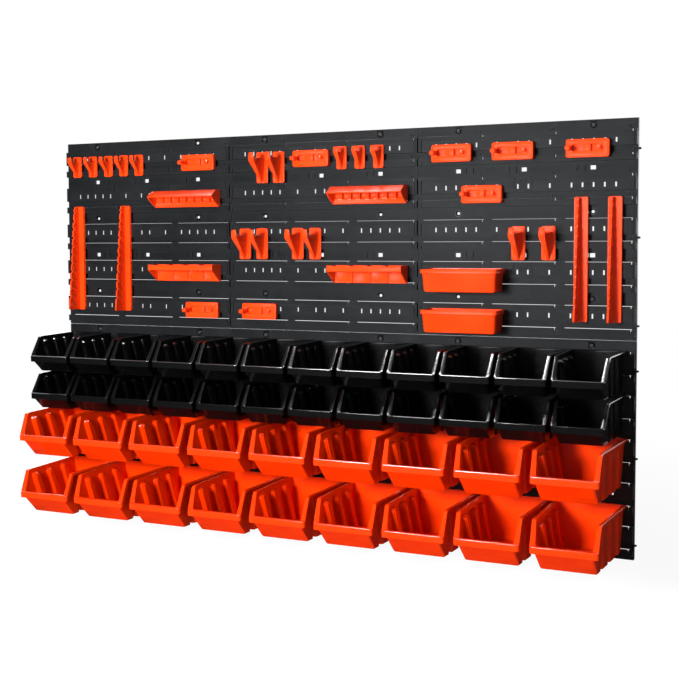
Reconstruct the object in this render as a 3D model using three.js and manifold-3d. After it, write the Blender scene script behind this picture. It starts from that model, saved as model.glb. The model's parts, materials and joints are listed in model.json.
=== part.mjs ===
// Wall storage board: six louvred panels, two rows of small bins, two rows of large bins
// and a set of clip-on tool holders. Millimetres, +Z up, +X to the right, +Y into the wall.
// The wall plane is y = 0 and everything stands out to the -Y side. Depths are given as
// distances off the wall ("off"), so that y = -off.
import * as THREE from "three";
import { mergeVertices } from "three/addons/utils/BufferGeometryUtils.js";
import Module from "manifold-3d";

const wasm = await Module();
wasm.setup();

// ---- shared by the panels and everything that hangs on them ----
const SEAM_Z = -2; // height of the joint between the upper and the lower panels
const HALF_GAP = 0.25; // half the play between two panels
const PITCH = 75.25; // louvre pattern repeat
const WIDE_TOP = 18; // first wide louvre, down from the panel top
const NARROW_TOP = 57.5; // first narrow louvre, down from the panel top
const SHEET = 2.5; // wall thickness of the panel moulding
const PROUD = 17; // front of the louvres, off the wall
const LIP_BACK = PROUD - SHEET; // back of a louvre lip, off the wall
const CUT = 1; // how far a cutter runs past the face it opens
const SINK = 0.5; // how far an added part is set in from the edges of its neighbour

// ---- materials ----
const boardCharcoal = new THREE.MeshStandardMaterial({
  name: "board_charcoal", color: 0x3c3e42, roughness: 0.55, metalness: 0,
});
const binBlack = new THREE.MeshStandardMaterial({
  name: "bin_black", color: 0x0b0b0d, roughness: 0.22, metalness: 0,
});
const binOrange = new THREE.MeshStandardMaterial({
  name: "bin_orange", color: 0xff4a0c, roughness: 0.28, metalness: 0,
});
const holderOrange = new THREE.MeshStandardMaterial({
  name: "holder_orange", color: 0xff4e1a, roughness: 0.3, metalness: 0,
});

// ---- solids ----
function toSolid(geometry) {
  const loose = geometry.index ? geometry.toNonIndexed() : geometry;
  // Only positions are kept, so that corners with different normals still merge.
  const bare = new THREE.BufferGeometry();
  bare.setAttribute("position", loose.getAttribute("position"));
  const welded = mergeVertices(bare, 1e-4);
  return new wasm.Manifold(new wasm.Mesh({
    numProp: 3,
    vertProperties: Float32Array.from(welded.attributes.position.array),
    triVerts: Uint32Array.from(welded.index.array),
  }));
}

// A block from off0 to off1 off the wall.
function box(x0, x1, off0, off1, z0, z1) {
  const geometry = new THREE.BoxGeometry(x1 - x0, off1 - off0, z1 - z0);
  geometry.translate((x0 + x1) / 2, -(off0 + off1) / 2, (z0 + z1) / 2);
  return toSolid(geometry);
}

// Extrudes a side outline of [off, z] points; xAt(isFarEnd, off, z) places each corner in x.
function extrude(points, xAt) {
  const ring = points.map(([off, z]) => new THREE.Vector2(off, z));
  if (THREE.ShapeUtils.isClockWise(ring)) ring.reverse();
  const options = { depth: 1, bevelEnabled: false, steps: 1 };
  const geometry = new THREE.ExtrudeGeometry(new THREE.Shape(ring), options);
  const corners = geometry.attributes.position;
  for (let i = 0; i < corners.count; i++) {
    const off = corners.getX(i);
    const z = corners.getY(i);
    corners.setXYZ(i, xAt(corners.getZ(i) > 0.5, off, z), -off, z);
  }
  return geometry;
}

// A side outline of [off, z] points, drawn out from x0 to x1.
function profile(points, x0, x1) {
  return toSolid(extrude(points, (isFarEnd) => (isFarEnd ? x0 : x1)));
}

// A side outline centred on x = 0, with the half width halfAt(off, z) at each point.
function taperedProfile(points, halfAt) {
  const geometry = extrude(points, (isFarEnd, off, z) => (isFarEnd ? 1 : -1) * halfAt(off, z));
  // The far end lies on the +X side here, which turns the faces inside out: turn them back.
  const corners = geometry.attributes.position;
  const second = new THREE.Vector3();
  const third = new THREE.Vector3();
  for (let i = 0; i < corners.count; i += 3) {
    second.fromBufferAttribute(corners, i + 1);
    third.fromBufferAttribute(corners, i + 2);
    corners.setXYZ(i + 1, third.x, third.y, third.z);
    corners.setXYZ(i + 2, second.x, second.y, second.z);
  }
  return toSolid(geometry);
}

const group = new THREE.Group();
group.name = "wall_storage_board";

function addPiece(name, solid, material, x, z) {
  const { vertProperties, triVerts } = solid.translate(x, 0, z).getMesh();
  const indexed = new THREE.BufferGeometry();
  indexed.setAttribute("position", new THREE.BufferAttribute(vertProperties, 3));
  indexed.setIndex(new THREE.BufferAttribute(triVerts, 1));
  const flat = indexed.toNonIndexed();
  flat.computeVertexNormals();
  const mesh = new THREE.Mesh(flat, material);
  mesh.name = name;
  group.add(mesh);
}

// ---- panels; heights marked "down" are measured from the panel top ----
const PANEL_W = 384;
const PANEL_H = 378;
const COLUMN_NAMES = ["left", "centre", "right"];
const BASE = 9; // front of the recessed strips, off the wall
const BASE_BACK = BASE - SHEET;
const RIM = 4; // height of the top and bottom rims that reach back to the wall
const END_LEFT = 6; // end wall thicknesses
const END_RIGHT = 3;
const REPEATS = 5; // louvre pairs in one panel
const WIDE_H = 27.5;
const NARROW_H = 12.5;
const LIP = 5; // free height of a louvre lip, behind which hooks drop
const WINDOW_W = 113; // length of one window behind a lip
const WINDOW_X = [-1, 0, 1].map((i) => (i * PANEL_W) / 3);
const WINDOW_BELOW = LIP - 0.5; // window edges, from the top of the lip
const WINDOW_ABOVE = 0.75;
const HOLE_X = 118; // outer screw and square holes, either side of the centre line
const SCREW_DOWN = [9.5, 157, 157 + 2 * PITCH];
const SCREW_R = 2.6;
const SQUARE_DOWN = [81.5, 81.5 + 2 * PITCH];
const SQUARE_W = 9;
const SQUARE_H = 7;
const PEG_DOWN = [0, 1, 2].map((i) => 51.5 + 2 * PITCH * i); // pegs on the right edge
const PEG = 4; // peg height and depth
const PEG_OUT = 4.5;
const PEG_FRONT = BASE - 1; // front of a peg, off the wall
const PEG_PLAY = 0.5;
const SOCKET_IN = PEG_OUT + 0.75;

const louvres = []; // [top, height], the top from the panel top
for (let i = 0; i < REPEATS; i++) {
  louvres.push([-WIDE_TOP - PITCH * i, WIDE_H], [-NARROW_TOP - PITCH * i, NARROW_H]);
}

// The moulded sheet seen from the side: down the front, then up the back.
function sheetOutline() {
  const front = louvres.flatMap(([top, height]) => [
    [BASE, top - LIP], [LIP_BACK, top - LIP], [LIP_BACK, top],
    [PROUD, top], [PROUD, top - height], [BASE, top - height],
  ]);
  const back = [...louvres].reverse().flatMap(([top, height]) => [
    [BASE_BACK, top - height + SHEET], [LIP_BACK, top - height + SHEET],
    [LIP_BACK, top - LIP - SHEET], [BASE_BACK, top - LIP - SHEET],
  ]);
  return [
    [BASE, 0], ...front, [BASE, -PANEL_H],
    [0, -PANEL_H], [0, -PANEL_H + RIM], [BASE_BACK, -PANEL_H + RIM],
    ...back, [BASE_BACK, -RIM], [0, -RIM], [0, 0],
  ];
}

// The end walls close each louvre up to the foot of its lip, and reach back to the wall.
function endOutline() {
  const front = louvres.flatMap(([top, height]) => [
    [BASE, top - LIP], [PROUD, top - LIP], [PROUD, top - height], [BASE, top - height],
  ]);
  return [[0, 0], [BASE, 0], ...front, [BASE, -PANEL_H], [0, -PANEL_H]];
}

// A cutter through the sheet of a recessed strip.
function stripCutter(x, width, z0, z1) {
  return box(x - width / 2, x + width / 2, BASE_BACK - CUT, BASE + CUT, z0, z1);
}

function screwCutter(x, z) {
  const geometry = new THREE.CylinderGeometry(SCREW_R, SCREW_R, BASE + 2 * CUT, 8, 1);
  geometry.translate(x, -BASE / 2, z);
  return toSolid(geometry);
}

// One panel, its top edge at z = 0 and its centre line at x = 0.
function makePanel() {
  const half = PANEL_W / 2 - HALF_GAP;
  let panel = profile(sheetOutline(), -half, half)
    .add(profile(endOutline(), -half, -half + END_LEFT))
    .add(profile(endOutline(), half - END_RIGHT, half));
  for (const [top] of louvres) {
    for (const x of WINDOW_X) {
      panel = panel.subtract(stripCutter(x, WINDOW_W, top - WINDOW_BELOW, top + WINDOW_ABOVE));
    }
  }
  for (const down of SCREW_DOWN) {
    for (const x of [-HOLE_X, HOLE_X]) panel = panel.subtract(screwCutter(x, -down));
  }
  for (const down of SQUARE_DOWN) {
    for (const x of [-HOLE_X, 0, HOLE_X]) {
      const cutter = stripCutter(x, SQUARE_W, -down - SQUARE_H / 2, -down + SQUARE_H / 2);
      panel = panel.subtract(cutter);
    }
  }
  // Pegs on the right edge, and the sockets for the neighbour's pegs on the left edge.
  for (const down of PEG_DOWN) {
    const low = -down - PEG / 2;
    const high = -down + PEG / 2;
    const peg = box(half - 1, half + PEG_OUT, PEG_FRONT - PEG, PEG_FRONT, low, high);
    const socket = box(
      -half - CUT, -half + SOCKET_IN,
      PEG_FRONT - PEG - PEG_PLAY, PEG_FRONT + PEG_PLAY,
      low - PEG_PLAY, high + PEG_PLAY,
    );
    panel = panel.add(peg).subtract(socket);
  }
  return panel;
}

const panel = makePanel();
COLUMN_NAMES.forEach((side, i) => {
  const x = (i - (COLUMN_NAMES.length - 1) / 2) * PANEL_W;
  addPiece("panel_upper_" + side, panel, boardCharcoal, x, SEAM_Z + HALF_GAP + PANEL_H);
  addPiece("panel_lower_" + side, panel, boardCharcoal, x, SEAM_Z - HALF_GAP);
});

// ---- bins; "Front" values are off the wall, heights are from the rim ----
const BIN_REAR = 17.5; // rear wall of a hung bin, off the wall
const RIM_UP = 2.4; // rim of a bin above the lip it hangs on
const HOOK = { clear: 0.35, gap: 0.4, thick: 1.6, drop: 3.6, root: 0.6 };
// spread is the half width gained per millimetre towards the wall.
const SMALL = {
  lipHalf: 43.5, rimHalf: 42.5, footHalf: 37, spread: 0.02, wall: 1.8,
  lipFront: 176, lipOut: 4, rimFront: 145, footFront: 146,
  lipTop: -37, lipBottom: -49.5, floor: -70,
};
const LARGE = {
  lipHalf: 55, rimHalf: 53.5, footHalf: 45.5, spread: 0.03, wall: 2.2,
  lipFront: 219, lipOut: 5, rimFront: 196, footFront: 178,
  lipTop: -36, lipBottom: -52.5, floor: -85.5,
};

// One bin, rim at z = 0, hung with its rear wall BIN_REAR off the wall.
function makeBin(bin) {
  const { wall, floor, lipTop, lipBottom, lipFront, footFront, rimFront, footHalf } = bin;
  // The side walls lean out towards the rim and spread a little towards the wall board.
  const halfAt = (off, z) =>
    footHalf + (bin.rimHalf - footHalf) * ((z - floor) / -floor) + bin.spread * (rimFront - off);
  const skin = lipFront - bin.lipOut; // front wall behind the lip
  const outer = taperedProfile([
    [BIN_REAR, 0], [rimFront, 0], [skin, lipTop],
    [skin, lipBottom], [footFront, floor], [BIN_REAR, floor],
  ], halfAt);
  const lip = profile([
    [skin - 1, lipTop], [lipFront, lipTop], [lipFront, lipBottom], [skin - 1, lipBottom],
  ], -bin.lipHalf, bin.lipHalf);
  // The hollow runs out past the rim and the lip, leaving the top and the upper front open.
  const mouth = { up: 6, off: lipFront + 20, sill: lipTop - 1 };
  const inner = taperedProfile([
    [BIN_REAR + wall, mouth.up], [mouth.off, mouth.up], [mouth.off, mouth.sill],
    [skin - wall, mouth.sill], [skin - wall, lipBottom - 0.4],
    [footFront - wall, floor + wall], [BIN_REAR + wall, floor + wall],
  ], (off, z) => halfAt(off, z) - wall);
  // A hook strip along the rear wall, over the louvre lip and down behind it.
  const hookFront = LIP_BACK - HOOK.gap;
  const hookBack = hookFront - HOOK.thick;
  const hookHalf = footHalf - 1;
  const hook = profile([
    [BIN_REAR + HOOK.root, 0], [BIN_REAR + HOOK.root, -RIM_UP + HOOK.clear],
    [hookFront, -RIM_UP + HOOK.clear], [hookFront, -RIM_UP - HOOK.drop],
    [hookBack, -RIM_UP - HOOK.drop], [hookBack, 0],
  ], -hookHalf, hookHalf);
  return outer.add(lip).subtract(inner).add(hook);
}

const smallRow = { solid: makeBin(SMALL), material: binBlack, count: 12, firstX: -521.5, step: 94.25 };
const largeRow = { solid: makeBin(LARGE), material: binOrange, count: 9, firstX: -510, step: 126.75 };
// down: the louvre top each row hangs on, from the top of the lower panels.
const binRows = [
  { ...smallRow, name: "bin_small_a", down: WIDE_TOP },
  { ...smallRow, name: "bin_small_b", down: WIDE_TOP + PITCH },
  { ...largeRow, name: "bin_large_a", down: WIDE_TOP + 2 * PITCH },
  { ...largeRow, name: "bin_large_b", down: NARROW_TOP + 3 * PITCH },
];
for (const { name, solid, material, count, firstX, step, down } of binRows) {
  const z = SEAM_Z - HALF_GAP - down + RIM_UP;
  for (let i = 0; i < count; i++) {
    addPiece(name + String(i + 1).padStart(2, "0"), solid, material, firstX + step * i, z);
  }
}

// ---- clip-on holders, standing on the louvre fronts ----
const FACE = PROUD + 0.3; // back of every holder, off the wall
const PLATE = 3; // back plate thickness
const PLATE_FRONT = FACE + PLATE;
const ROOT = FACE + 1; // parts on a back plate start here, inside it

function addHolder(name, solid, x, aboveSeam) {
  addPiece(name, solid, holderOrange, x, SEAM_Z + aboveSeam);
}

// Tall rack: a back plate with a rail up its right side and a thin comb that deepens
// downwards. The comb's slots are open to the front and fall towards the wall.
const TALL = { w: 24, top: 246.5, foot: 31.5, x: [-554, -441.25, 473, 529.25] };
const RAIL = { w: 2.5, inset: 0.5, out: 3 };
const COMB = { x0: 7, x1: 10, outTop: 14, outFoot: 38 };
// margin: comb height left over by the slots. deep: share of the comb depth.
// slope and maxFall limit the fall to parts of the slot's depth and of the step.
const SLOT = { count: 11, first: 9, margin: 24, deep: 0.66, slope: 1.1, maxFall: 1.2 };

function makeTallRack() {
  const { w, top, foot } = TALL;
  const height = top - foot;
  const low = foot + SINK;
  const high = top - SINK;
  const railRight = w - RAIL.inset;
  const plate = box(0, w, FACE, PLATE_FRONT, foot, top);
  const rail = box(railRight - RAIL.w, railRight, ROOT, PLATE_FRONT + RAIL.out, low, high);
  const combFront = (z) =>
    PLATE_FRONT + COMB.outTop + (COMB.outFoot - COMB.outTop) * ((top - z) / height);
  const outline = [[ROOT, low], [ROOT, high], [combFront(top) - 4, high]];
  const step = (height - SLOT.margin) / SLOT.count;
  for (let i = 0; i < SLOT.count; i++) {
    const z = top - SLOT.first - step * i;
    const front = combFront(z);
    const deep = (front - PLATE_FRONT) * SLOT.deep;
    const fall = Math.min(deep * SLOT.slope, step * SLOT.maxFall);
    outline.push(
      [front, z], // upper edge of the slot, then its inner end
      [front - deep, z - fall],
      [front - deep + 0.6, z - fall - 3.4],
      [combFront(z - 6) - 2.2, z - 5.2], // lower edge, cut back at the mouth
      [combFront(z - 8.5), z - 8.5],
    );
  }
  outline.push([combFront(foot), low]);
  return plate.add(rail).add(profile(outline, COMB.x0, COMB.x1));
}
const tallRack = makeTallRack();
TALL.x.forEach((x, i) => addHolder("rack_tall_" + (i + 1), tallRack, x, 0));

// The hole rack and the pocket rack share their size and columns.
const RACK = { w: 145, h: 33, wall: 2.4, front: FACE + 38, x: [-357, 28.5] };

function rackPlate() {
  return box(0, RACK.w, FACE, PLATE_FRONT, -RACK.h, 0);
}
function addEnds(rack, points) {
  return [0, RACK.w - RACK.wall].reduce((sum, x) => sum.add(profile(points, x, x + RACK.wall)), rack);
}

// Hole rack: a back plate under a roof that slopes forward, with a row of square holes
// through the roof and ribs under it.
const HOLES = { count: 8, firstX: 10.9, pitch: 17.6, half: 5 };
const RIBS = { firstX: 18.9, w: 1.8, out: 9 };

function makeHoleRack() {
  const { w, h, wall, front } = RACK;
  const roof = [
    [ROOT, 0], [FACE + 19, 0], [front, -11], [front, -14],
    [front - wall, -14], [front - wall, -12.5], [FACE + 18, -wall], [ROOT, -wall],
  ];
  const end = [
    [ROOT, -SINK], [FACE + 18.5, -SINK], [front - SINK, -11.5],
    [front - SINK, -13.5], [PLATE_FRONT + 3, -h + SINK], [ROOT, -h + SINK],
  ];
  const footBar = box(0, w, ROOT, PLATE_FRONT + 4, -h, -23);
  let rack = addEnds(rackPlate().add(profile(roof, 0, w)).add(footBar), end);
  for (let i = 0; i < HOLES.count; i++) {
    const x = HOLES.firstX + HOLES.pitch * i;
    const hole = box(x - HOLES.half, x + HOLES.half, PLATE_FRONT + 2, FACE + 17, -3, CUT);
    rack = rack.subtract(hole);
  }
  for (let i = 0; i < HOLES.count - 1; i++) {
    const x = RIBS.firstX + HOLES.pitch * i;
    rack = rack.add(box(x, x + RIBS.w, ROOT, PLATE_FRONT + RIBS.out, -24, -1));
  }
  return rack;
}

// Pocket rack: a back plate and a flat top with four openings, a rail hanging from its
// front edge, sloping ends and ribs on the plate.
const POCKET = { count: 4, end: 3, inset: 2.5, ribHalf: 1 };

function makePocketRack() {
  const { w, h, wall, front } = RACK;
  const { count, end, inset, ribHalf } = POCKET;
  const endPoints = [
    [ROOT, -SINK], [front - SINK, -SINK], [front - SINK, -10.5],
    [PLATE_FRONT + 1.5, -h + SINK], [ROOT, -h + SINK],
  ];
  const flatTop = box(0, w, ROOT, front, -wall, 0);
  const rail = box(0, w, front - 3, front, -11, 0);
  let rack = addEnds(rackPlate().add(flatTop).add(rail), endPoints);
  const cell = (w - 2 * end) / count;
  for (let i = 0; i < count; i++) {
    const x = end + cell * i;
    const opening = box(x + inset, x + cell - inset, PLATE_FRONT + 3, front - 6, -3, CUT);
    rack = rack.subtract(opening);
  }
  for (let i = 1; i < count; i++) {
    const x = end + cell * i;
    rack = rack.add(box(x - ribHalf, x + ribHalf, ROOT, PLATE_FRONT + 3, -h + SINK, -1));
  }
  return rack;
}

const holeRack = makeHoleRack();
const pocketRack = makePocketRack();
RACK.x.forEach((x, i) => {
  addHolder("rack_hole_" + (i + 1), holeRack, x, 274.5);
  addHolder("rack_pocket_" + (i + 1), pocketRack, x, 127);
});

// Tray: an open tub whose ends and front lean in towards the floor.
const TRAY = { left: 215.5, w: 139, out: 60, h: 41, wall: 2.2, endLean: 4, frontLean: 6 };

function makeTray() {
  const { w, h, wall, endLean, frontLean } = TRAY;
  const front = FACE + TRAY.out;
  const halfAt = (off, z) => w / 2 - endLean + endLean * ((z + h) / h);
  const outer = taperedProfile(
    [[FACE, 0], [front, 0], [front - frontLean, -h], [FACE, -h]], halfAt);
  const inner = taperedProfile([
    [PLATE_FRONT, 3], [front - wall, 3], [front - wall, 0],
    [front - frontLean - wall, -h + wall], [PLATE_FRONT, -h + wall],
  ], (off, z) => halfAt(off, Math.min(z, 0)) - wall);
  return outer.subtract(inner);
}
const tray = makeTray();
[122.5, 50].forEach((z, i) => addHolder("tray_" + (i + 1), tray, TRAY.left + TRAY.w / 2, z));

// Hook: a back plate, a web tapering downwards and an upright tip at its outer end.
function makeHook() {
  const w = 24;
  const h = 59.5;
  const front = FACE + 53;
  const tipBack = front - 3;
  const webBack = PLATE_FRONT - 0.5;
  const armTop = -11;
  const tipTop = -2.5;
  const fullWidthZ = -18; // the web has its full width from here up
  const footHalf = 1.75;
  const armHalf = 5;
  const web = taperedProfile([
    [webBack, -h + 1.5], [webBack, armTop], [tipBack, armTop],
    [tipBack, tipTop], [front, tipTop], [front, fullWidthZ],
  ], (off, z) => footHalf + (armHalf - footHalf) * Math.min(1, (z + h) / (h + fullWidthZ)));
  return box(-w / 2, w / 2, FACE, PLATE_FRONT, -h, 0).add(web);
}
addHolder("hook_large_7", makeHook(), 377.25, 197);

// Tool clip: a block with a long recess, a post across it and a tongue standing out at
// its left end.
function makeClip() {
  const w = 72;
  const h = 31;
  const front = FACE + 11;
  return box(-w / 2, w / 2, FACE, front, -h, 0)
    .subtract(box(-27, 28, PLATE_FRONT, front + CUT, -20.5, -8.5))
    .add(box(-5, 5, PLATE_FRONT - 0.5, front - 1.5, -21, -8))
    .add(box(-33.5, -25.5, FACE + 9, FACE + 31, -19, -11));
}
addHolder("clip_3", makeClip(), 257.5, 344.5);

export default group;
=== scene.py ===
import bpy, bmesh, json, math
import numpy as np
from mathutils import Vector, Matrix

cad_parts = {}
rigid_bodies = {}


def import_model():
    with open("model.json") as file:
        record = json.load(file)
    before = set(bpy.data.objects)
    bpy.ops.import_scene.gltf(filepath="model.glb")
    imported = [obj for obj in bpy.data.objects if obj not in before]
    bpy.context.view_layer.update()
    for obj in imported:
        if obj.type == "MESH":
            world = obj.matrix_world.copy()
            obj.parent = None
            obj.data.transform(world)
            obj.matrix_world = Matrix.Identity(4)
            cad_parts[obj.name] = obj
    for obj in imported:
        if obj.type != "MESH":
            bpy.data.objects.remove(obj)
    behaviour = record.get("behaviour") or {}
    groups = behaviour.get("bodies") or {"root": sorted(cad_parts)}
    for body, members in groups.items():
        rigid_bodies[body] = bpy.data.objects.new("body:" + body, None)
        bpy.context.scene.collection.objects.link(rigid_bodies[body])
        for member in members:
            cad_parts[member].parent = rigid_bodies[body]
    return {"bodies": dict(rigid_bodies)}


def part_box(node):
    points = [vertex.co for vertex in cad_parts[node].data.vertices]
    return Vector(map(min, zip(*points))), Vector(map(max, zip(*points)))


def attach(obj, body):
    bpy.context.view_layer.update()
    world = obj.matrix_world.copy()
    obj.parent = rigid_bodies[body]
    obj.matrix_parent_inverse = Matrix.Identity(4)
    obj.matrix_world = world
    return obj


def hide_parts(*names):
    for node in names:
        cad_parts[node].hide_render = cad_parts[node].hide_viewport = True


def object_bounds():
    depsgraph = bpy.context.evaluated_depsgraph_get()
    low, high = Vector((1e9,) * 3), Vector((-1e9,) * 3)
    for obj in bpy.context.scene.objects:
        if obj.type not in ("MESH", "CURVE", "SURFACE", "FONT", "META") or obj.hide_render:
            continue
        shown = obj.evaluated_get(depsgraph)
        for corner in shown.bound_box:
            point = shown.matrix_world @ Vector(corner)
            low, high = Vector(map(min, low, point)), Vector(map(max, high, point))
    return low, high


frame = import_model()


def plain(b):
    return [[float(v) for v in b[0]], [float(v) for v in b[1]]]


cad_box = plain(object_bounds())
MM = 0.001
scene = bpy.context.scene


# ------------------------------------------------------------------ materials
def new_material(name):
    m = bpy.data.materials.new(name)
    m.use_nodes = True
    nt = m.node_tree
    nt.nodes.clear()
    out = nt.nodes.new("ShaderNodeOutputMaterial")
    p = nt.nodes.new("ShaderNodeBsdfPrincipled")
    nt.links.new(p.outputs["BSDF"], out.inputs["Surface"])
    return m, nt, p


def moulded(name, dark, base, light, rough, grain_scale, grain, coat=0.0, sheen_scale=9.0, spec=0.5, wave=0.0, sss=0.0):
    """A moulded plastic: fine grain, slow flow marks in colour and gloss, slightly paler edges that are a painted edge
    highlight with a little wear.
    """
    m, nt, p = new_material(name)
    N, L = nt.nodes, nt.links
    co = N.new("ShaderNodeTexCoord")
    flow = N.new("ShaderNodeTexNoise")
    flow.inputs["Scale"].default_value = sheen_scale
    flow.inputs["Detail"].default_value = 3.0
    flow.inputs["Distortion"].default_value = 0.6
    L.new(co.outputs["Object"], flow.inputs["Vector"])
    ramp = N.new("ShaderNodeValToRGB")
    ramp.color_ramp.elements[0].position = 0.28
    ramp.color_ramp.elements[0].color = (*dark, 1)
    ramp.color_ramp.elements[1].position = 0.75
    ramp.color_ramp.elements[1].color = (*light, 1)
    mid = ramp.color_ramp.elements.new(0.5)
    mid.color = (*base, 1)
    L.new(flow.outputs["Fac"], ramp.inputs["Fac"])
    # paler on convex edges: a painted edge highlight, partly edge wear
    geo = N.new("ShaderNodeNewGeometry")
    edge = N.new("ShaderNodeMapRange")
    edge.inputs["From Min"].default_value = 0.52
    edge.inputs["From Max"].default_value = 0.62
    edge.inputs["To Min"].default_value = 0.0
    edge.inputs["To Max"].default_value = 0.16
    L.new(geo.outputs["Pointiness"], edge.inputs["Value"])
    mix = N.new("ShaderNodeMix")
    mix.data_type = "RGBA"
    L.new(edge.outputs["Result"], mix.inputs["Factor"])
    L.new(ramp.outputs["Color"], mix.inputs["A"])
    mix.inputs["B"].default_value = (min(1, light[0] * 1.2 + 0.004), min(1, light[1] * 1.5 + 0.004), min(1, light[2] * 1.6 + 0.002), 1)
    L.new(mix.outputs["Result"], p.inputs["Base Color"])
    # gloss varies along the flow
    rr = N.new("ShaderNodeMapRange")
    rr.inputs["To Min"].default_value = rough - 0.05
    rr.inputs["To Max"].default_value = rough + 0.08
    L.new(flow.outputs["Fac"], rr.inputs["Value"])
    L.new(rr.outputs["Result"], p.inputs["Roughness"])
    # grain
    fine = N.new("ShaderNodeTexNoise")
    fine.inputs["Scale"].default_value = grain_scale
    fine.inputs["Detail"].default_value = 2.0
    L.new(co.outputs["Object"], fine.inputs["Vector"])
    bump = N.new("ShaderNodeBump")
    bump.inputs["Strength"].default_value = grain
    bump.inputs["Distance"].default_value = 0.0006
    L.new(fine.outputs["Fac"], bump.inputs["Height"])
    last = bump
    if wave:
        slow = N.new("ShaderNodeTexNoise")
        slow.inputs["Scale"].default_value = 26.0
        slow.inputs["Detail"].default_value = 1.0
        L.new(co.outputs["Object"], slow.inputs["Vector"])
        b2 = N.new("ShaderNodeBump")
        b2.inputs["Strength"].default_value = wave
        b2.inputs["Distance"].default_value = 0.004
        L.new(slow.outputs["Fac"], b2.inputs["Height"])
        L.new(bump.outputs["Normal"], b2.inputs["Normal"])
        last = b2
    L.new(last.outputs["Normal"], p.inputs["Normal"])
    p.inputs["Specular IOR Level"].default_value = spec
    p.inputs["Coat Weight"].default_value = coat
    p.inputs["Coat Roughness"].default_value = 0.12
    if sss:
        p.inputs["Subsurface Weight"].default_value = sss
        p.inputs["Subsurface Radius"].default_value = (0.004, 0.0008, 0.0003)
        p.inputs["Subsurface Scale"].default_value = 1.0
    return m


BOARD = moulded("board_charcoal", (0.0060, 0.0066, 0.0076), (0.0080, 0.0087, 0.0098), (0.0104, 0.0112, 0.0124), 0.34, 900.0, 0.22, spec=0.35, wave=0.10)
BLACK = moulded("bin_black_gloss", (0.0012, 0.0012, 0.0014), (0.0018, 0.0018, 0.0020), (0.0026, 0.0026, 0.0030), 0.17, 1400.0, 0.06, coat=0.0, wave=0.12, spec=0.60)
ORANGE = moulded("bin_orange_gloss", (0.68, 0.025, 0.0004), (0.75, 0.031, 0.0006), (0.81, 0.039, 0.0010), 0.22, 1400.0, 0.08, coat=0.0, wave=0.08, spec=0.42)
HOLDER = moulded("holder_orange_gloss", (0.66, 0.030, 0.0016), (0.74, 0.039, 0.0026), (0.80, 0.050, 0.0042), 0.22, 1200.0, 0.08, coat=0.0, wave=0.10, spec=0.45)


def zinc():
    m, nt, p = new_material("screw_zinc")
    N, L = nt.nodes, nt.links
    co = N.new("ShaderNodeTexCoord")
    n = N.new("ShaderNodeTexNoise")
    n.inputs["Scale"].default_value = 320.0
    L.new(co.outputs["Object"], n.inputs["Vector"])
    ramp = N.new("ShaderNodeValToRGB")
    ramp.color_ramp.elements[0].color = (0.030, 0.030, 0.032, 1)
    ramp.color_ramp.elements[1].color = (0.060, 0.060, 0.064, 1)
    L.new(n.outputs["Fac"], ramp.inputs["Fac"])
    L.new(ramp.outputs["Color"], p.inputs["Base Color"])
    rr = N.new("ShaderNodeMapRange")
    rr.inputs["To Min"].default_value = 0.30
    rr.inputs["To Max"].default_value = 0.50
    L.new(n.outputs["Fac"], rr.inputs["Value"])
    L.new(rr.outputs["Result"], p.inputs["Roughness"])
    p.inputs["Metallic"].default_value = 0.35
    return m


ZINC = zinc()


# ------------------------------------------------------------------ mesh helpers
# Every part is drawn in millimetres: x across, d out from the wall, z up.
def finish_mesh(name, verts, faces, material, smooth=None, bevel=0.0, segments=1, bevel_angle=50.0, weld=0.01):
    bm = bmesh.new()
    vs = [bm.verts.new((x * MM, -d * MM, z * MM)) for x, d, z in verts]
    for f in faces:
        ring = []
        for i in f:
            if not ring or vs[i] is not ring[-1]:
                ring.append(vs[i])
        if len(set(ring)) < 3:
            continue
        try:
            bm.faces.new(ring)
        except ValueError:
            pass
    bmesh.ops.remove_doubles(bm, verts=bm.verts, dist=weld * MM)
    bmesh.ops.dissolve_degenerate(bm, edges=bm.edges, dist=0.002 * MM)
    bmesh.ops.recalc_face_normals(bm, faces=bm.faces)
    if bevel:
        sharp = [e for e in bm.edges if e.is_manifold and e.calc_face_angle(0.0) > math.radians(bevel_angle)]
        bmesh.ops.bevel(bm, geom=sharp, offset=bevel * MM, segments=segments, profile=0.5, affect="EDGES", clamp_overlap=True)
        bmesh.ops.recalc_face_normals(bm, faces=bm.faces)
    me = bpy.data.meshes.new(name)
    bm.to_mesh(me)
    bm.free()
    me.materials.append(material)
    if smooth is not None:
        me.polygons.foreach_set("use_smooth", [True] * len(me.polygons))
        me.set_sharp_from_angle(angle=math.radians(smooth))
    return me


def place(me, name, x, z, body, nodes=()):
    o = bpy.data.objects.new(name, me)
    scene.collection.objects.link(o)
    o.location = (x, 0.0, z)
    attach(o, body)
    if nodes:
        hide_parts(*nodes)
    return o


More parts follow.
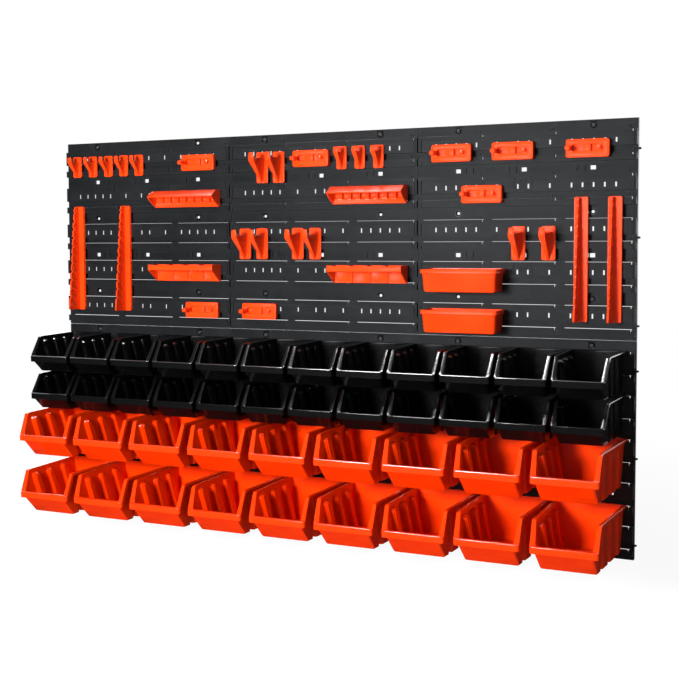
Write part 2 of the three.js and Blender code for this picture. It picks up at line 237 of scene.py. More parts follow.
class Build:
    """Collects vertices and faces of several closed shells."""

    def __init__(self):
        self.v, self.f = [], []

    def add(self, verts, faces):
        k = len(self.v)
        self.v += list(verts)
        self.f += [[i + k for i in f] for f in faces]

    def box(self, x0, x1, d0, d1, z0, z1):
        v = [(x, d, z) for x in (x0, x1) for d in (d0, d1) for z in (z0, z1)]
        f = [[0, 1, 3, 2], [4, 6, 7, 5], [0, 4, 5, 1], [2, 3, 7, 6], [0, 2, 6, 4], [1, 5, 7, 3]]
        self.add(v, f)

    def prism(self, pts, x0, x1, x0b=None, x1b=None):
        """pts = (d, z) outline swept from x0 to x1."""
        n = len(pts)
        v = [(x0, d, z) for d, z in pts] + [(x1, d, z) for d, z in pts]
        f = [list(range(n)), list(range(2 * n - 1, n - 1, -1))]
        for i in range(n):
            j = (i + 1) % n
            f.append([i, j, n + j, n + i])
        self.add(v, f)

    def plate(self, pts, d0, d1):
        """pts = (x, z) outline standing from d0 to d1 off the wall."""
        n = len(pts)
        v = [(x, d0, z) for x, z in pts] + [(x, d1, z) for x, z in pts]
        f = [list(range(n)), list(range(2 * n - 1, n - 1, -1))]
        for i in range(n):
            j = (i + 1) % n
            f.append([i, j, n + j, n + i])
        self.add(v, f)

    def lathe(self, ring, cx, cz, n=24):
        """ring = (radius, d) outline turned about the axis out of the wall; closed at both ends on the axis."""
        v, f = [], []
        for r, d in ring:
            for k in range(n):
                a = 2 * math.pi * k / n
                v.append((cx + r * math.cos(a), d, cz + r * math.sin(a)))
        m = len(ring)
        for i in range(m - 1):
            for k in range(n):
                l = (k + 1) % n
                f.append([i * n + k, i * n + l, (i + 1) * n + l, (i + 1) * n + k])
        f.append(list(range(n)))
        f.append([(m - 1) * n + k for k in range(n)][::-1])
        self.add(v, f)


def rounded(x0, x1, z0, z1, r, n=4):
    pts = []
    for cx, cz, a0 in ((x1 - r, z0 + r, -90), (x1 - r, z1 - r, 0), (x0 + r, z1 - r, 90), (x0 + r, z0 + r, 180)):
        for k in range(n + 1):
            a = math.radians(a0 + 90 * k / n)
            pts.append((cx + r * math.cos(a), cz + r * math.sin(a)))
    return pts


def cut(base, tools):
    """base minus tools, as Build objects; returns vertices and faces in millimetres."""
    def obj(b, tag):
        bm = bmesh.new()
        vs = [bm.verts.new(v) for v in b.v]
        for f in b.f:
            bm.faces.new([vs[i] for i in f])
        bmesh.ops.remove_doubles(bm, verts=bm.verts, dist=0.001)
        bmesh.ops.recalc_face_normals(bm, faces=bm.faces)
        me = bpy.data.meshes.new(tag)
        bm.to_mesh(me)
        bm.free()
        o = bpy.data.objects.new(tag, me)
        scene.collection.objects.link(o)
        return o
    a = obj(base, "tmp_a")
    made = [a]
    for mode, t in tools:
        b = obj(t, "tmp_b")
        made.append(b)
        m = a.modifiers.new("c", "BOOLEAN")
        m.operation = mode
        m.solver = "EXACT"
        m.use_self = True
        m.object = b
    bpy.context.view_layer.update()
    ev = a.evaluated_get(bpy.context.evaluated_depsgraph_get())
    me = bpy.data.meshes.new_from_object(ev)
    out = Build()
    out.v = [tuple(v.co) for v in me.vertices]
    out.f = [list(p.vertices) for p in me.polygons]
    for o in made:
        d = o.data
        bpy.data.objects.remove(o)
        bpy.data.meshes.remove(d)
    bpy.data.meshes.remove(me)
    return out


# ------------------------------------------------------------------ panel
PW, PH = 383.5, 377.75
SHEET, BASE, PROUD, LIP = 2.5, 9.0, 17.0, 5.0
PITCH = 75.25
WIDE = [18 + PITCH * i for i in range(5)]
NARROW = [57.5 + PITCH * i for i in range(5)]
SLOT_X = [s * v for v in (9.25, 46.25, 83.25, 101.75, 120.25, 138.75, 157.25) for s in (-1, 1)]
WINDOW_X = (-128, 0, 128)
SQUARES = [(x, d) for x in (-118, 0, 118) for d in (81.5, 232)]
HOLES = [(x, d) for x in (-118, 118) for d in (9.5, 157, 307.5)]
PEGS = (51.5, 202, 352.5)


def panel_mesh(row):
    half = PW / 2
    cuts = []   # x0, x1, d0, d1, down0, down1, solid?

    def solid(x0, x1, d0, d1, t0, t1):
        cuts.append((x0, x1, d0, d1, t0, t1, True))

    def void(x0, x1, d0, d1, t0, t1):
        cuts.append((x0, x1, d0, d1, t0, t1, False))

    solid(-half, half, 6.5, BASE, 0, PH)
    for t, h in [(w, 27.5) for w in WIDE] + [(n, 12.5) for n in NARROW]:
        b = min(t + h, PH)
        solid(-half, half, 6.5, PROUD, t + LIP, b)
        solid(-half, half, 14.5, PROUD, t, b)
        void(-half, half, 0, 14.5, t + LIP + SHEET, b - SHEET)
        # the long windows open a little further up in the rows seen level
        win = -0.6 if row == "lower" else -0.4 if t < 80 else 0.2 if t < 150 else 0.35
        for x in WINDOW_X:
            void(x - 56.5, x + 56.5, 6.5, BASE, t - win, t + 4)
            void(x + 55.3, x + 56.5, 14.5, PROUD, t, t + LIP)
            void(x + 55.3, x + 56.5, 15.2, PROUD, t + LIP, t + LIP + 3.5)
            void(x + 49.5, x + 55.5, 7.2, BASE, t - 6.5, t - 2.5)
        # line where the louvre runs into the end rims
        void(half - 5.2, half - 3.9, 15.3, PROUD, t + LIP, b)
        void(-half + 6.6, -half + 7.9, 15.3, PROUD, t + LIP, b)
    for w in WIDE:
        for x in SLOT_X:
            void(x - 1.4, x + 1.4, 14.5, PROUD, w + 13.8, w + 21.8)
        # a thin drip line along the louvre
        void(-half + 9, half - 7, 16.6, PROUD, w + 9.0, w + 10.0)
    for x, t in SQUARES:
        solid(x - 6, x + 6, BASE, 10, t - 5, t + 5)
        void(x - 4.5, x + 4.5, 6.5, 10, t - 3.5, t + 3.5)
        for off in ((14, 27) if x < -60 else (-14, -27)):
            solid(x + off - 0.9, x + off + 0.9, BASE, 11, t - 5, t + 5)
    for x, t in HOLES:
        void(x - 7, x + 7, 6.5, BASE, t - 7, t + 7)
    # rims down to the wall, and ribs on the back
    for t0, t1 in ((0, 4), (PH - 4, PH)):
        solid(-half, half, 0, BASE, t0, t1)
    for x0, x1 in ((-half, -half + 6), (half - 3, half)):
        solid(x0, x1, 0, BASE, 0, PH)
        for t, h in [(w, 27.5) for w in WIDE] + [(n, 12.5) for n in NARROW]:
            solid(x0, x1, 0, PROUD, t + LIP, t + h)
    for x in (-64, 64):
        solid(x - 1, x + 1, 1, 6.5, 4, PH - 4)
        for t, h in [(w, 27.5) for w in WIDE] + [(n, 12.5) for n in NARROW]:
            solid(x - 1, x + 1, 1, 14.5, t + LIP, t + h)
    # chamfered seam where two panels meet
    void(half - 1.0, half, 10.5, PROUD, 0, PH)
    void(-half, -half + 1.0, 10.5, PROUD, 0, PH)
    for t in PEGS:
        void(-half, -half + 5.25, BASE - 5.5, BASE - 0.5, t - 2.5, t + 2.5)
    xs = sorted({round(v, 3) for c in cuts for v in c[0:2]})
    ds = sorted({round(v, 3) for c in cuts for v in c[2:4]})
    ts = sorted({round(v, 3) for c in cuts for v in c[4:6]})
    xi = {v: i for i, v in enumerate(xs)}
    di = {v: i for i, v in enumerate(ds)}
    ti = {v: i for i, v in enumerate(ts)}
    occ = np.zeros((len(xs) + 1, len(ds) + 1, len(ts) + 1), bool)
    for x0, x1, d0, d1, t0, t1, s in cuts:
        occ[xi[round(x0, 3)] + 1: xi[round(x1, 3)] + 1, di[round(d0, 3)] + 1: di[round(d1, 3)] + 1, ti[round(t0, 3)] + 1: ti[round(t1, 3)] + 1] = s
    verts, faces, index = [], [], {}

    def vert(i, j, k):
        key = (i, j, k)
        if key not in index:
            index[key] = len(verts)
            verts.append((xs[i], ds[j], -ts[k]))
        return index[key]
    X, D, T = len(xs), len(ds), len(ts)
    for axis in range(3):
        a = occ
        b = np.roll(occ, -1, axis=axis)
        diff = a != b
        for i, j, k in np.argwhere(diff):
            if axis == 0 and i < X:
                ring = [vert(i, j - 1, k - 1), vert(i, j, k - 1), vert(i, j, k), vert(i, j - 1, k)]
            elif axis == 1 and j < D:
                ring = [vert(i - 1, j, k - 1), vert(i, j, k - 1), vert(i, j, k), vert(i - 1, j, k)]
            elif axis == 2 and k < T:
                ring = [vert(i - 1, j - 1, k), vert(i, j - 1, k), vert(i, j, k), vert(i - 1, j, k)]
            else:
                continue
            faces.append(ring)
    return verts, faces


def hole_plugs():
    """The round countersunk holes, each in a square patch of the sheet."""
    b = Build()
    n = 32
    for x, t in HOLES:
        v, f = [], []
        rings = []
        sq = []
        for k in range(n):
            a = 2 * math.pi * k / n
            c, s = math.cos(a), math.sin(a)
            m = 7.0 / max(abs(c), abs(s))
            sq.append((m * c, m * s))
        levels = [("sq", 6.5), ("sq", BASE), (6.3, BASE), (6.0, 10.0), (5.4, 10.0), (5.1, 9.6), (5.0, 7.6), (2.6, 7.2), (2.6, 6.5)]
        for r, d in levels:
            ring = []
            for k in range(n):
                a = 2 * math.pi * k / n
                px, pz = sq[k] if r == "sq" else (r * math.cos(a), r * math.sin(a))
                ring.append(len(v))
                v.append((x + px, d, -t + pz))
            rings.append(ring)
        for a, c in zip(rings, rings[1:] + rings[:1]):
            for k in range(n):
                l = (k + 1) % n
                f.append([a[k], a[l], c[l], c[k]])
        b.add(v, f)
    return b


panels = {}
for row in ("upper", "lower"):
    pv, pf = panel_mesh(row)
    panels[row] = finish_mesh("panel_louvred_" + row, pv, pf, BOARD, bevel=0.3, segments=1, bevel_angle=60)
plug_me = finish_mesh("panel_hole_rims", *(lambda b: (b.v, b.f))(hole_plugs()), BOARD, smooth=35)
# the inside of each countersunk eye takes the black bin plastic: painted shade in the recess round the screw
plug_me.materials.append(BLACK)
for poly in plug_me.polygons:
    near = min(math.hypot(poly.center.x / MM - x, poly.center.z / MM + t) for x, t in HOLES)
    if near < 5.9:
        poly.material_index = 1
pegs = Build()
for t in PEGS:
    r = 2.0
    z = -t
    ring = rounded(-2.0, 2.0, z - 2.0, z + 2.0, 0.7, 3)
    # a short peg with a barbed end, standing out of the right edge
    n = len(ring)
    st = [(PW / 2 - 1.0, 1.0), (PW / 2 + 2.4, 1.0), (PW / 2 + 2.6, 1.0), (PW / 2 + 3.2, 0.9), (PW / 2 + 4.4, 0.55)]
    v, f = [], []
    for x, s in st:
        for a, c in ring:
            v.append((x, 6.0 - 2.0 + 2.0 + a * s, z + (c - z) * s))
    for i in range(len(st) - 1):
        for k in range(n):
            l = (k + 1) % n
            f.append([i * n + k, i * n + l, (i + 1) * n + l, (i + 1) * n + k])
    f.append(list(range(n)))
    f.append([(len(st) - 1) * n + k for k in range(n)][::-1])
    pegs.add(v, f)
peg_me = finish_mesh("panel_pegs", pegs.v, pegs.f, BOARD, smooth=40)
top_of = {}
for r in ("upper", "lower"):
    for c in ("left", "centre", "right"):
        node = f"panel_{r}_{c}"
        lo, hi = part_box(node)
        x = round((lo.x + 0.19175), 6)
        z = hi.z
        top_of[r] = z
        main = place(panels[r], f"{r}_{c}_louvre_sheet", x, z, "board", (node,))
        place(plug_me, f"{r}_{c}_screw_eyes", x, z, "board")
        place(peg_me, f"{r}_{c}_joining_pegs", x, z, "board")
UP, LOW = top_of["upper"], top_of["lower"]


def ring_mesh():
    """Raised moulding rings round an injection point, cut off by the edges of the louvre they sit on."""
    b = Build()
    for r0, r1, top, bottom in ((6.2, 7.6, 9, 9), (16.4, 17.6, 12.5, 12.5)):
        n = 72
        run = []
        runs = []
        for k in range(n + 1):
            a = 2 * math.pi * k / n
            zz = r1 * math.sin(a)
            if -bottom < zz < top:
                run.append(a)
            elif run:
                runs.append(run)
                run = []
        if run:
            runs.append(run)
        for run in runs:
            if len(run) < 2:
                continue
            whole = len(run) > n
            v, f = [], []
            for a in run:
                for r, d in ((r0, PROUD - 0.2), (r0 + 0.3, PROUD + 0.5), (r1 - 0.3, PROUD + 0.5), (r1, PROUD - 0.2)):
                    v.append((r * math.cos(a), d, r * math.sin(a)))
            m = len(run)
            for k in range(m - 1):
                for q in range(4):
                    f.append([4 * k + q, 4 * k + (q + 1) % 4, 4 * (k + 1) + (q + 1) % 4, 4 * (k + 1) + q])
            if not whole:
                f.append([0, 1, 2, 3])
                f.append([4 * (m - 1) + q for q in (3, 2, 1, 0)])
            b.add(v, f)
    return finish_mesh("moulding_rings", b.v, b.f, BOARD, smooth=35)


ring_me = ring_mesh()
for i, t in enumerate((107.0, 257.5)):
    place(ring_me, f"upper_right_moulding_rings_{i + 1}", 0.384, UP - t * MM, "board")


# ------------------------------------------------------------------ screws
def screw_mesh():
    b = Build()
    b.lathe([(1.9, 5.0), (1.9, 8.2), (3.3, 9.4), (3.4, 9.8), (3.1, 10.5), (2.0, 10.9)], 0, 0, 28)
    tool = Build()
    for a in (0, 1):
        w, l = 0.55, 2.4
        if a:
            tool.box(-w, w, 9.7, 12.5, -l, l)
        else:
            tool.box(-l, l, 9.7, 12.5, -w, w)
    t1, t2 = Build(), Build()
    t1.box(-0.55, 0.55, 9.7, 12.5, -2.4, 2.4)
    t2.box(-2.4, 2.4, 9.7, 12.5, -0.55, 0.55)
    return cut(b, [("DIFFERENCE", t1), ("DIFFERENCE", t2)])


sm = screw_mesh()
screw_me = finish_mesh("screw", sm.v, sm.f, ZINC, smooth=35)
screws = [(x, UP - 9.5 * MM) for x in (-502, -118, 118, 266, 502)] + [(x, UP - 307.5 * MM) for x in (-266, -118, 502)] + [(x, LOW - 9.5 * MM) for x in (-502, -266, -118, 118, 266, 502)]
for i, (x, z) in enumerate(screws):
    place(screw_me, f"mounting_screw_{i + 1:02d}", x * MM, z, "board")


# ------------------------------------------------------------------ bins
REAR = 17.5


def bin_mesh(name, p, material):
    """One tub: two fluted side walls, front with a lip, rear wall, floor, rim flange and hook."""
    wall, flo = p["wall"], p["floor"]
    skin = p["depth"] - p["lipOut"]
    fl, fh = p["flange"], p["flange_h"]
    rim = p["lip"]                      # outer half width of the flange
    top_half, foot = p["lip"] - fl, p["foot"]
    ridges = p["ridges"]                # (front edge, back edge) at the top, off the wall
    # column stations along the side, at rim level
    st = [(REAR, None)]
    marks = []
    for a in (0.35, 1.1, 2.6):
        st.append((REAR + a, None))
    for front, back in ridges:
        for e, s in ((back, 1), (front, -1)):
            for o, k in ((-1.3, 0.0), (-0.8, 0.1), (-0.2, 0.42), (0.4, 0.82), (0.9, 0.97), (1.5, 1.0)):
                st.append((e + s * o, (front, back)))
        for q in (0.3, 0.5, 0.7):
            st.append((back + (front - back) * q, (front, back)))
    gaps = [REAR + 2.6] + [v for r in ridges for v in (r[1], r[0])] + [p["kink"] - 10]
    for q in range(0, len(gaps) - 1, 2):
        a, b = gaps[q], gaps[q + 1]
        for k in range(1, 4):
            st.append((a + (b - a) * k / 4, None))
    for q in (9, 6.5, 4.2, 2.4, 1.0, 0):
        st.append((p["kink"] - q, None))
    hop = skin - p["kink"]
    for q in (0.1, 0.25, 0.45, 0.65, 0.85, 1.0):
        st.append((p["kink"] + hop * q, None))
    ys = sorted({round(s[0], 3) for s in st})
    ys = [y for i, y in enumerate(ys) if i == 0 or y - ys[i - 1] > 0.15]
    if abs(ys[-1] - skin) > 1e-6:
        ys[-1] = skin
    # the rim line: level, then a rounded kink, then down the hopper edge to the lip
    kr = 9.0

    def rim_z(y):
        k, l = p["kink"], p["lipTop"]
        slope = l / (skin - k)
        if y <= k - kr:
            return 0.0
        if y <= k:
            q = (y - (k - kr)) / kr
            return -1.6 * q * q
        q = (y - k) / (skin - k)
        return -1.6 + (l + 1.6) * q

    def under_z(y):
        # lower edge of the flange on the outside of the wall
        k, l, lb = p["kink"], p["lipTop"], p["lipBottom"]
        a, b = k - 7.0, skin - 6.5
        if y <= a - 6:
            return -fh
        if y <= a:
            q = (y - (a - 6)) / 6
            return -fh - 1.5 * q * q
        if y <= b:
            q = (y - a) / (b - a)
            return -fh - 1.5 + (l - 5 + fh + 1.5) * q
        q = min(1.0, (y - b) / 1.6)
        return l - 5 + (lb - l + 5) * q

    def shift(y):
        return float(np.interp(y, [REAR, REAR + 20, REAR + 42, p["kink"] - 20, skin], [0, p["slant"] * 0.65, p["slant"], p["slant"] + 1, skin - p["foot_y"]]))

    def half_at(z, d):
        return foot + (top_half - foot) * (z - flo) / (-flo) + p["widen"] * (p["kink"] - d)

    rc = p["round"]

    def inset(dist, r):
        if dist >= r:
            return 0.0
        q = r - max(dist, 0.0)
        return r - math.sqrt(max(r * r - q * q, 0.0))

    def groove(y_top, z):
        best = 0.0
        for front, back in ridges:
            w = (front - back) / 2
            c = (front + back) / 2
            o = abs(y_top - c)
            e = w - o                      # inside the ridge edge
            k = float(np.interp(e, [-1.3, -0.8, -0.2, 0.4, 0.9, 1.5], [0, 0.08, 0.42, 0.82, 0.96, 1.0]))
            if k <= 0:
                continue
            cap = p["cap"] - 0.55 * (w - math.sqrt(max(w * w - min(o, w) ** 2, 0.0)))
            t = (cap - z) / 3.2
            t = min(max(t, 0.0), 1.0)
            t = math.sin(t * math.pi / 2)
            deep = p["ridge0"] + (p["ridge1"] - p["ridge0"]) * (cap - z) / (cap - flo)
            best = max(best, k * t * deep)
        return best

    def vlist(total):
        down = [0, 2, 4.5, 6.5, 7.6, 8.6, 9.6, 10.8, 12.4, 15, 20, 28, 38, 48, 58]
        down = [v for v in down if v < total - 12]
        tail = [total - v for v in (9, 5, rc * 1.0, rc * 0.55, rc * 0.22, 0)]
        return [v / total for v in down + tail]

    rows = vlist(-flo)[::-1]
    rows = [1 - r for r in rows]           # 0 at the floor, 1 at the rim
    V, F = [], []

    def add(x, d, z):
        V.append((x, d, z))
        return len(V) - 1

    def side(sign, inner):
        grid = []
        for y in ys:
            col = []
            yb = y - shift(y)
            zt = rim_z(y) if inner else under_z(y)
            zb = flo + (wall if inner else 0)
            for r in rows:
                z = zb + (zt - zb) * r
                if inner:
                    # straight up behind the lip, sloping below it
                    yy = yb + (y - yb) * min(1.0, (z - zb) / (p["lipBottom"] - zb) if y > skin - 12 else r)
                else:
                    yy = yb + (y - yb) * r
                g = groove(y, z)
                dz = (z - zb)
                front_y = p["foot_y"] + (skin - p["foot_y"]) * r
                dist = min(dz, (skin - y), (y - REAR))
                rr = rc - (wall * 0.6 if inner else 0)
                i = inset(dist, rr) if (dz < rr or y - REAR < rr or skin - y < rr) else 0.0
                if inner and zt - z < 0.01:
                    i = 0.0
                w = wall if inner else 0.0
                x = half_at(z, yy) - w - g - i
                if inner:
                    yy = min(max(yy, REAR + w), front_y - 0 if False else yy)
                    yy = REAR + w + (yy - REAR) * (skin - 2 * w - REAR) / (skin - REAR)
                col.append(add(sign * x, yy, z))
            grid.append(col)
        n, m = len(ys), len(rows)
        for i in range(n - 1):
            for j in range(m - 1):
                F.append([grid[i][j], grid[i + 1][j], grid[i + 1][j + 1], grid[i][j + 1]])
        return grid

    LO, RO = side(-1, False), side(1, False)
    LI, RI = side(-1, True), side(1, True)
    n, m = len(ys), len(rows)
    # floors, fronts and the inner rear wall
    for A, B in ((LO, RO), (LI, RI)):
        for i in range(n - 1):
            F.append([A[i][0], A[i + 1][0], B[i + 1][0], B[i][0]])
        for j in range(m - 1):
            F.append([A[n - 1][j], A[n - 1][j + 1], B[n - 1][j + 1], B[n - 1][j]])
    for j in range(m - 1):
        F.append([LI[0][j], LI[0][j + 1], RI[0][j + 1], RI[0][j]])
    # flange: under edge (D on the wall), outer lower C, outer upper B, with small rounds, inner top A
    rnd = 0.9
    bands = []
    for sign, O, I in ((-1, LO, LI), (1, RO, RI)):
        stations = []
        for i, y in enumerate(ys):
            d, a = V[O[i][m - 1]], V[I[i][m - 1]]
            yo = y
            zr, zu = rim_z(y), d[2]
            rim = p["lip"] + p["widen"] * max(0.0, skin - 4 - y)
            # direction across the rim, away from the tub, in the side plane
            C0 = (sign * rim, d[1], zu)
            C1 = (sign * rim, d[1], zu + rnd * 0.6)
            B0 = (sign * rim, yo, zr - rnd)
            B1 = (sign * (rim - rnd * 0.3), yo, zr - rnd * 0.3)
            B2 = (sign * (rim - rnd), yo, zr)
            stations.append([O[i][m - 1]] + [add(*q) for q in ((sign * (rim - rnd * 0.6), d[1], zu), C1, B0, B1, B2)] + [I[i][m - 1]])
        # round the front corner of the lip
        rim = p["lip"]
        R = p["corner"]
        depth = p["depth"]
        for k in range(1, 8):
            a = math.pi / 2 * k / 7
            cx, cy = rim - R, depth - R

            def on(rad, z, back=0.0, cx=cx, cy=cy, a=a):
                return (sign * (cx + rad * math.cos(a)), cy + (rad - back) * math.sin(a), z)
            lt, lb = p["lipTop"], p["lipBottom"]
            stations.append([O[n - 1][m - 1]] + [add(*q) for q in (on(R - rnd * 0.6, lb, 1.3), on(R, lb + rnd * 0.6, 1.3), on(R, lt - 1.2), on(R - 1.2, lt - 0.15), on(R - 2.0, lt))] + [I[n - 1][m - 1]])
        bands.append(stations)
        for s, t in zip(stations, stations[1:]):
            for q in range(6):
                F.append([s[q], s[q + 1], t[q + 1], t[q]])
    a, b = bands[0][-1], bands[1][-1]
    for q in range(6):
        F.append([a[q], a[q + 1], b[q + 1], b[q]])
    # rear: one face over the tub end and the flange ends, and the strip along the rear rim
    a, b = bands[0][0], bands[1][0]
    rear = [LO[0][j] for j in range(m)] + a[1:6] + b[5:0:-1] + [RO[0][j] for j in range(m - 1, -1, -1)]
    F.append(rear)
    F.append([a[5], a[6], b[6], b[5]])
    me_build = Build()
    me_build.add(V, F)
    # hook: a row of teeth that drop behind the louvre lip
    hw = p["foot"] - 1
    teeth = 5
    step = 2 * hw / (teeth - 0.35)
    for k in range(teeth):
        a = -hw + k * step
        hb = Build()
        hb.prism([(REAR + 0.5, 0), (REAR + 0.5, -2.05), (14.1, -2.05), (14.1, -6.0), (12.5, -6.0), (12.5, -0.7), (13.2, 0)], a, a + step * 0.65)
        me_build.add(hb.v, hb.f)
    # ribs on the rear wall under the rail
    for x in (-0.62, 0.62):
        me_build.box(x * hw - 1.2, x * hw + 1.2, REAR + 0.4, REAR - 0.35, flo + 8, -12)
    # two nubs on the lip
    rim = p["lip"]
    for x in (-0.42, 0.38):
        nb = Build()
        nb.plate(rounded(x * rim - 1.6, x * rim + 1.6, p["lipTop"] - 0.4, p["lipTop"] + 0.45, 0.35, 2), p["depth"] - 3.6, p["depth"] - 1.6)
        me_build.add(nb.v, nb.f)
    return finish_mesh(name, me_build.v, me_build.f, material, smooth=32)


SMALL = dict(lip=43.5, foot=37, widen=0.020, depth=176, kink=145, lipTop=-37, lipBottom=-49.5, floor=-70, foot_y=146, lipOut=4, wall=1.8,
             flange=3.0, flange_h=3.6, ridges=((62, 48), (101, 87), (139, 125)), slant=20, cap=-7.0, ridge0=4.8, ridge1=6.6, corner=4.5, round=2.0)
LARGE = dict(lip=55, foot=45.5, widen=0.030, depth=219, kink=196, lipTop=-40.5, lipBottom=-53, floor=-85.5, foot_y=178, lipOut=5, wall=2.0,
             flange=3.8, flange_h=4.6, ridges=((80, 60), (134, 114), (187, 167)), slant=27, cap=-8.0, ridge0=6.8, ridge1=9.4, corner=5.5, round=2.4)
small_me = bin_mesh("small_bin", SMALL, BLACK)
large_me = bin_mesh("large_bin", LARGE, ORANGE)
for body in sorted(frame["bodies"]):
    if not body.startswith("bin_"):
        continue
    lo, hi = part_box(body)
    small = body.startswith("bin_small")
    place(small_me if small else large_me, body + "_tub", (lo.x + hi.x) / 2, hi.z, body, (body,))


# ------------------------------------------------------------------ clip-on holders
FACE = PROUD + 0.3


def soft(b, name, bevel=0.6, segments=2, smooth=32, angle=40):
    return finish_mesh(name, b.v, b.f, HOLDER, smooth=smooth, bevel=bevel, segments=segments, bevel_angle=angle)


def hook_mesh(name, w, h, out, web, tip_w, tip_h):
    f = FACE + 3
    plate = Build()
    plate.plate(rounded(-w / 2, w / 2, -h, 0, 3.2, 4), FACE, f)
    rib = Build()
    side = [(f - 1, -9.5), (f - 1, -h + 1.2), (f + 1.5, -h + 0.6), (FACE + out - 2.2, -tip_h - 4), (FACE + out - 0.6, -tip_h - 0.5), (FACE + out - 0.6, -8), (FACE + out - 6, -11.5), (f + 9, -11.5)]
    n = len(side)

    def wide(z):
        return 1.5 + (web / 2 - 1.5) * min(1.0, max(0.0, (z + h) / (h - tip_h - 4)))
    rib.add([(-wide(z), d, z) for d, z in side] + [(wide(z), d, z) for d, z in side],
            [list(range(n)), list(range(2 * n - 1, n - 1, -1))] + [[k, (k + 1) % n, n + (k + 1) % n, n + k] for k in range(n)])
    tip = Build()
    tip.plate(rounded(-tip_w / 2, tip_w / 2, -tip_h - 2.5, -2.2, 1.6, 3), FACE + out - 2.8, FACE + out)
    frame_r = Build()
    frame_r.plate(rounded(w / 2 - 4.2, w / 2 - 0.6, -h + 0.6, -0.6, 1.5, 3), f - 0.5, f + 1.1)
    frame_l = Build()
    frame_l.plate(rounded(-w / 2 + 0.6, -w / 2 + 4.2, -h + 0.6, -0.6, 1.5, 3), f - 0.5, f + 1.1)
    top = Build()
    top.plate(rounded(-w / 2 + 0.6, w / 2 - 0.6, -8.2, -0.6, 1.5, 3), f - 0.5, f + 1.1)
    b = cut(plate, [("UNION", rib), ("UNION", tip), ("UNION", frame_r), ("UNION", frame_l), ("UNION", top)])
    return soft(b, name, 0.45, 2)


hook_small = hook_mesh("hook_small", 20, 42.5, 33, 8.5, 8.5, 11)
hook_large = hook_mesh("hook_large", 24, 59.5, 53, 10.5, 8.5, 15)
SEAM = UP - 378 * MM          # joint height plus half the play


def lvl(z):
    return SEAM + z * MM


for i, x in enumerate((-545.3, -507, -469.2, -432.6, -396.4, 45.2, 81.4, 118)):
    place(hook_small, f"hook_small_{i + 1}", x * MM, lvl(349.5), "board")
for i, (x, z) in enumerate(((-119, 344.5), (-84.2, 344.5), (-156.6, 197.5), (-120.1, 197.5), (-44.9, 197.5), (-8.8, 197.5), (377.25, 197), (429.6, 197))):
    nodes = ("hook_large_7",) if i == 6 else ()
    place(hook_large, f"hook_long_{i + 1}", x * MM, lvl(z), "board", nodes)


def clip_mesh():
    w, h = 72, 31
    f = FACE
    block = Build()
    block.plate(rounded(-w / 2, w / 2, -h, 0, 4.0, 5), f, f + 11)
    recess = Build()
    recess.plate(rounded(-27, 28, -20.5, -8.5, 5.5, 5), f + 3, f + 20)
    post = Build()
    post.plate(rounded(-5, 5, -21, -8, 2.5, 4), f + 2.5, f + 9.5)
    post2 = Build()
    post2.lathe([(3.6, f + 2), (3.6, f + 10.2), (2.2, f + 11.2)], 19, -14.5, 18)
    tongue = Build()
    tongue.plate(rounded(-33.5, -25.5, -19, -11, 3.2, 5), f + 9, f + 31)
    b = cut(block, [("DIFFERENCE", recess), ("UNION", post), ("UNION", post2), ("UNION", tongue)])
    return soft(b, "tool_clip", 0.8, 2)


clip_me = clip_mesh()
for i, (x, z) in enumerate(((-257.4, 344.5), (-14.9, 344.5), (257.5, 344.5), (367.5, 344.5), (495.7, 344.5), (312.9, 270), (-250.5, 52), (-124.4, 52))):
    nodes = ("clip_3",) if i == 2 else ()
    place(clip_me, f"tool_clip_{i + 1}", x * MM, lvl(z), "board", nodes)


def hole_rack_mesh():
    w = 145
    f, y1 = FACE + 3, FACE + 38
    b = Build()
    b.prism([(FACE, 0), (f, 0), (f, -33), (FACE, -33)], 0, w)
    roof = Build()
    roof.prism([(FACE + 0.6, 0), (FACE + 18.5, 0), (FACE + 20, -0.6), (y1, -11), (y1, -13.2), (y1 - 2.4, -13.4), (y1 - 2.6, -11.8), (FACE + 18, -2.4), (FACE + 0.6, -2.4)], 0, w)
    band = Build()
    band.prism([(f - 1, -22.5), (f + 3, -23.5), (f + 4, -24.5), (f + 4, -33), (f - 1, -33)], 0, w)
    ops = [("UNION", roof), ("UNION", band)]
    for x in (0.0, w - 2.4):
        g = Build()
        g.prism([(FACE + 0.5, -0.4), (FACE + 18.5, -0.4), (y1 - 0.4, -11.4), (y1 - 0.4, -12.8), (y1 - 9, -20.5), (f + 6, -31.5), (f + 3, -32.6), (FACE + 0.5, -32.6)], x, x + 2.4)
        ops.append(("UNION", g))
    for i in range(7):
        g = Build()
        g.box(18.9 + 17.6 * i, 20.7 + 17.6 * i, FACE + 1, f + 9, -24, -1)
        ops.append(("UNION", g))
    for i in range(8):
        c = 10.9 + 17.6 * i
        hole = Build()
        hole.box(c - 5, c + 5, f + 2, FACE + 17, -6, 3)
        ops.append(("DIFFERENCE", hole))
        seat = Build()
        seat.plate(rounded(c - 6, c + 6, -21.5, -12.5, 1.4, 3), f - 1.2, f + 1.5)
        ops.append(("DIFFERENCE", seat))
    return soft(cut(b, ops), "hole_rack", 0.35, 2)


